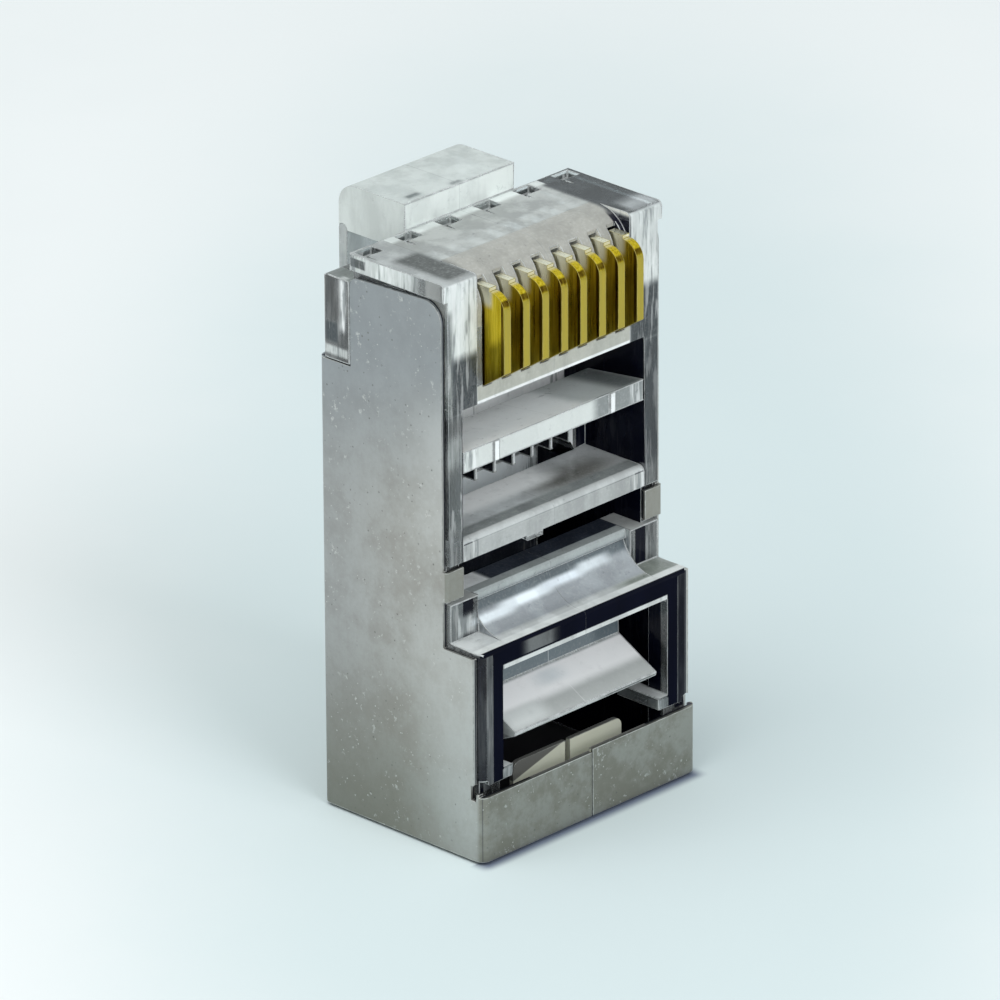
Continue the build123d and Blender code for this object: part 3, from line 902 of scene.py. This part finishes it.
          soft=(0.03, 0.15, 0.03)),
    # Painted shade in the pockets
    Patch((0.0, 5.9), (1.65, 2.5), (22.25, 22.6), 0.9, (0.05, 0.06, 0.06)),
    # Latch root: pale top and front with two dark marks, and the frosted end
    Patch((0.0, 3.0), (2.4, 6.0), (21.9, 23.9), 0.65, (0.66, 0.71, 0.69)),
    Patch((2.88, 3.0), (2.4, 6.0), (21.9, 23.9), 0.8, (0.70, 0.745, 0.72)),
    Patch((0.0, 3.0), (2.4, 2.6), (22.7, 23.9), 0.85, (0.86, 0.91, 0.88), facing=Facing.FRONT),
    Patch((-2.4, -1.7), (2.75, 3.05), (23.7, 23.9), 0.9, (0.10, 0.12, 0.12), facing=Facing.UP,
          one_sided=True, soft=(0.15, 0.12, 0.03)),
    Patch((-0.3, 0.3), (2.55, 2.8), (23.7, 23.9), 0.85, (0.18, 0.20, 0.20), facing=Facing.UP,
          one_sided=True, soft=(0.15, 0.12, 0.03)),
    # Shoulder: painted highlights on a strip and on the ledge, and painted shade on its foot
    Patch((0.0, 5.9), (2.5, 4.1), (18.2, 21.7), 0.2, GREY, SMOKE),
    Patch((5.0, 5.9), (2.5, 4.1), (21.4, 21.7), 0.6, (0.26, 0.29, 0.28), facing=Facing.UP),
    Patch((5.6, 5.9), (2.7, 3.0), (19.5, 21.6), 0.85, WHITE, soft=(0.03, 0.12, 0.2)),
    Patch((5.6, 5.9), (3.1, 4.1), (18.95, 19.75), 0.5, (0.10, 0.13, 0.14), INK,
          soft=(0.03, 0.1, 0.1), deep=0.3),
    Patch((5.6, 5.9), (2.6, 4.1), (18.45, 18.8), 0.8, (0.6, 0.63, 0.62), soft=(0.03, 0.1, 0.08)),
)

BAR_PATCHES = (
    # Top painted bright as painted light, a clearer end with painted shade on top and front, and
    # the ribs
    Patch((0.0, 4.9), (-2.5, 0.6), (15.3, 16.0), 0.97, (0.98, 0.99, 0.98), facing=Facing.UP),
    Patch((1.6, 4.9), (-2.3, 0.6), (15.3, 16.0), 0.85, (0.66, 0.69, 0.68), facing=Facing.UP,
          one_sided=True, soft=(0.4, 0.1, 0.03)),
    Patch((3.6, 4.9), (-2.3, 0.6), (15.3, 16.0), 0.65, (0.22, 0.24, 0.24), facing=Facing.UP,
          one_sided=True, soft=(0.4, 0.1, 0.03)),
    Patch((2.2, 4.9), (-2.5, -2.3), (14.4, 15.9), 0.85, (0.24, 0.26, 0.26), one_sided=True,
          soft=(0.3, 0.03, 0.03)),
    Patch((2.95, 3.29), (-2.5, -2.35), (14.9, 15.9), 0.95, WHITE),
)

TONGUE_PATCHES = (
    # Painted shade under the wall, a painted highlight band in the middle, and painted shade
    # towards the lip and the keel
    Patch((0.0, 3.9), (-4.0, -1.0), (5.66, 7.6), 0.9, (0.13, 0.16, 0.18), soft=(0.03, 0.03, 0.05)),
    Patch((0.0, 3.9), (-4.2, -1.0), (3.8, 5.08), 0.9, (0.50, 0.52, 0.51), soft=(0.03, 0.03, 0.12)),
    Patch((-3.9, -1.8), (-4.0, -1.0), (4.72, 5.1), 0.9, (0.74, 0.77, 0.76), one_sided=True,
          soft=(0.5, 0.03, 0.1)),
    Patch((-1.1, 0.2), (-4.0, -1.0), (5.3, 5.6), 0.9, (0.84, 0.88, 0.90), one_sided=True,
          soft=(0.6, 0.03, 0.1)),
    Patch((0.0, 3.9), (-4.2, -1.0), (3.9, 4.45), 0.8, (0.30, 0.31, 0.31)),
    Patch((0.9, 3.9), (-4.2, -1.0), (3.9, 4.6), 0.8, (0.03, 0.035, 0.03), facing=Facing.FRONT,
          one_sided=True, soft=(0.5, 0.03, 0.03)),
)


@dataclass
class Housing:
    """Clear housing with its latch and its two strain-relief clamps."""

    slots: dict[str, str] = field(default_factory=lambda: {
        "housing": "clear_housing", "latch_lever": "clear_latch",
        "conductor_clamp": "clear_clamp", "jacket_clamp": "clear_clamp"})

    def build(self) -> None:
        """Dress the four clear mouldings."""
        finishes = {
            "housing": ClearMoulding("clear_housing", HOUSING_PATCHES),
            "latch_lever": ClearMoulding("clear_latch", frost=0.4, shade=(0.72, 0.76, 0.75)),
            "conductor_clamp": ClearMoulding(
                "clear_bar", BAR_PATCHES, frost=0.93, shade=(0.66, 0.69, 0.67), swirl=0.03),
            "jacket_clamp": ClearMoulding(
                "clear_tongue", TONGUE_PATCHES, frost=0.97, shade=(1.0, 1.0, 1.0),
                swirl=0.02, wear_and_rim_dimming=0.5, gloss=(0.12, 0.25)),
        }
        # Pale rims: a painted highlight along the softened edges
        rim = BrightEdge("clear_edge", (0.86, 0.89, 0.89), 0.0, 0.45).build()
        for node, slot in self.slots.items():
            dress(node, finishes[node].build(), rim, Edge.MOULDED)


@dataclass
class Shield:
    """Folded sheet-metal shield."""

    def build(self) -> None:
        """Dress the shield."""
        face = NickelSheet("shield_metal").build()
        # Pale rims: a painted highlight along the softened edges
        rim = BrightEdge("shield_edge", (0.58, 0.58, 0.55), 1.0, rough=0.3).build()
        dress("shield", face, rim, Edge.STAMPED)


@dataclass
class Contacts:
    """The row of insulation-piercing contacts."""

    count: int = 8

    def build(self) -> None:
        """Dress every contact."""
        gold = GoldBlade("contact_gold").build()
        # Pale rims: a painted highlight along the softened edges
        rim = BrightEdge("contact_edge", (0.60, 0.50, 0.14), 1.0, rough=0.25).build()
        for number in range(1, self.count + 1):
            dress(f"contact_{number}", gold, rim, Edge.BLADE)


# ----------------------------------------------------------------------- stage


@dataclass(frozen=True)
class Lamp:
    """A square lamp: its place and its side in metres, its power in watts, and its colour."""

    name: str
    place: Triple
    size: float
    power: float
    colour: Colour

    def hang(self, target: Triple) -> None:
        """Hang the lamp, turned towards a target."""
        data = bpy.data.lights.new(self.name, "AREA")
        data.size = self.size
        data.energy = self.power
        data.color = self.colour
        lamp = bpy.data.objects.new(self.name, data)
        bpy.context.scene.collection.objects.link(lamp)
        lamp.location = self.place
        aim = Vector(target) - Vector(self.place)
        lamp.rotation_euler = aim.to_track_quat("-Z", "Y").to_euler()


@dataclass
class Studio:
    """Floor, lamps and surroundings, in metres."""

    floor_half: float = 3.0
    floor_drop: float = 0.00012
    surroundings: Colour = (0.735, 0.80, 0.81)
    surroundings_strength: float = 0.72
    lamps: tuple[Lamp, ...] = (
        Lamp("key", (-0.20, 0.02, 0.36), 0.36, 0.90, (1.0, 0.99, 0.97)),
        Lamp("front_fill", (-0.05, -0.39, 0.24), 0.24, 0.92, (0.97, 0.98, 1.0)))
    lamp_target: Triple = (0, 0, 0.012)

    def build(self) -> None:
        """Make the stage."""
        self._floor()
        self._surroundings()
        for lamp in self.lamps:
            lamp.hang(self.lamp_target)
        LOG.info("made the stage")

    def _floor(self) -> None:
        """Lay the floor just under the part's foot."""
        bpy.ops.object.select_all(action="DESELECT")
        height = CAD_BOX[0].z - self.floor_drop
        bpy.ops.mesh.primitive_plane_add(size=2 * self.floor_half, location=(0, 0, height))
        floor = bpy.context.object
        floor.name = "floor"
        floor.data.materials.append(PaleFloor("floor").build())

    def _surroundings(self) -> None:
        """Light the part evenly, and show the same pale tone to the camera."""
        world = bpy.data.worlds.new("surroundings")
        bpy.context.scene.world = world
        graph = Graph(world)
        seen: Value = 0.0
        for ray in ("Is Camera Ray", "Is Glossy Ray", "Is Transmission Ray"):
            seen = graph.node("ShaderNodeLightPath", {}, {}, ray).higher(seen)
        strength = seen.rise(0.0, 1.0, self.surroundings_strength, 1.0)
        glow = graph.node(
            "ShaderNodeBackground", {}, {"Color": self.surroundings, "Strength": strength})
        graph.node("ShaderNodeOutputWorld", {}, {"Surface": glow})


@dataclass
class Viewpoint:
    """The photograph's camera, in degrees, millimetres and square-image units.

    The sensor is in millimetres and the clip range in metres, as Blender has them.
    """

    azimuth: float = -45.921
    elevation: float = 23.272
    roll: float = -0.323
    distance: float = 424.487
    target: Triple = (-0.479, 0.0, 11.884)
    focal_pixels: float = 11346.77
    image_pixels: float = 1000.0
    sensor: float = 36.0
    clip: Pair = (0.01, 20.0)

    def build(self) -> None:
        """Make the camera."""
        turn, lift = math.radians(self.azimuth), math.radians(self.elevation)
        back = Vector((
            math.sin(turn) * math.cos(lift), -math.cos(turn) * math.cos(lift), math.sin(lift)))
        level = Vector((math.cos(turn), math.sin(turn), 0))
        upright = back.cross(level)
        tilt = math.radians(self.roll)
        right = math.cos(tilt) * level + math.sin(tilt) * upright
        top = back.cross(right)
        data = bpy.data.cameras.new("camera")
        data.sensor_width = self.sensor
        data.lens = self.focal_pixels / self.image_pixels * self.sensor
        data.clip_start, data.clip_end = self.clip
        camera = bpy.data.objects.new("camera", data)
        bpy.context.scene.collection.objects.link(camera)
        place = (Vector(self.target) + self.distance * back) * MM
        axes = Matrix((right, top, back)).transposed()
        camera.matrix_world = Matrix.Translation(place) @ axes.to_4x4()
        bpy.context.scene.camera = camera
        LOG.info("placed the camera")


def main() -> None:
    """Build the stage and dress every piece."""
    logging.basicConfig(level=logging.INFO, format="%(name)s: %(message)s")
    bpy.context.scene.view_settings.view_transform = "Standard"
    Viewpoint().build()
    Studio().build()
    Housing().build()
    Shield().build()
    Contacts().build()


if __name__ == "__main__":
    main()
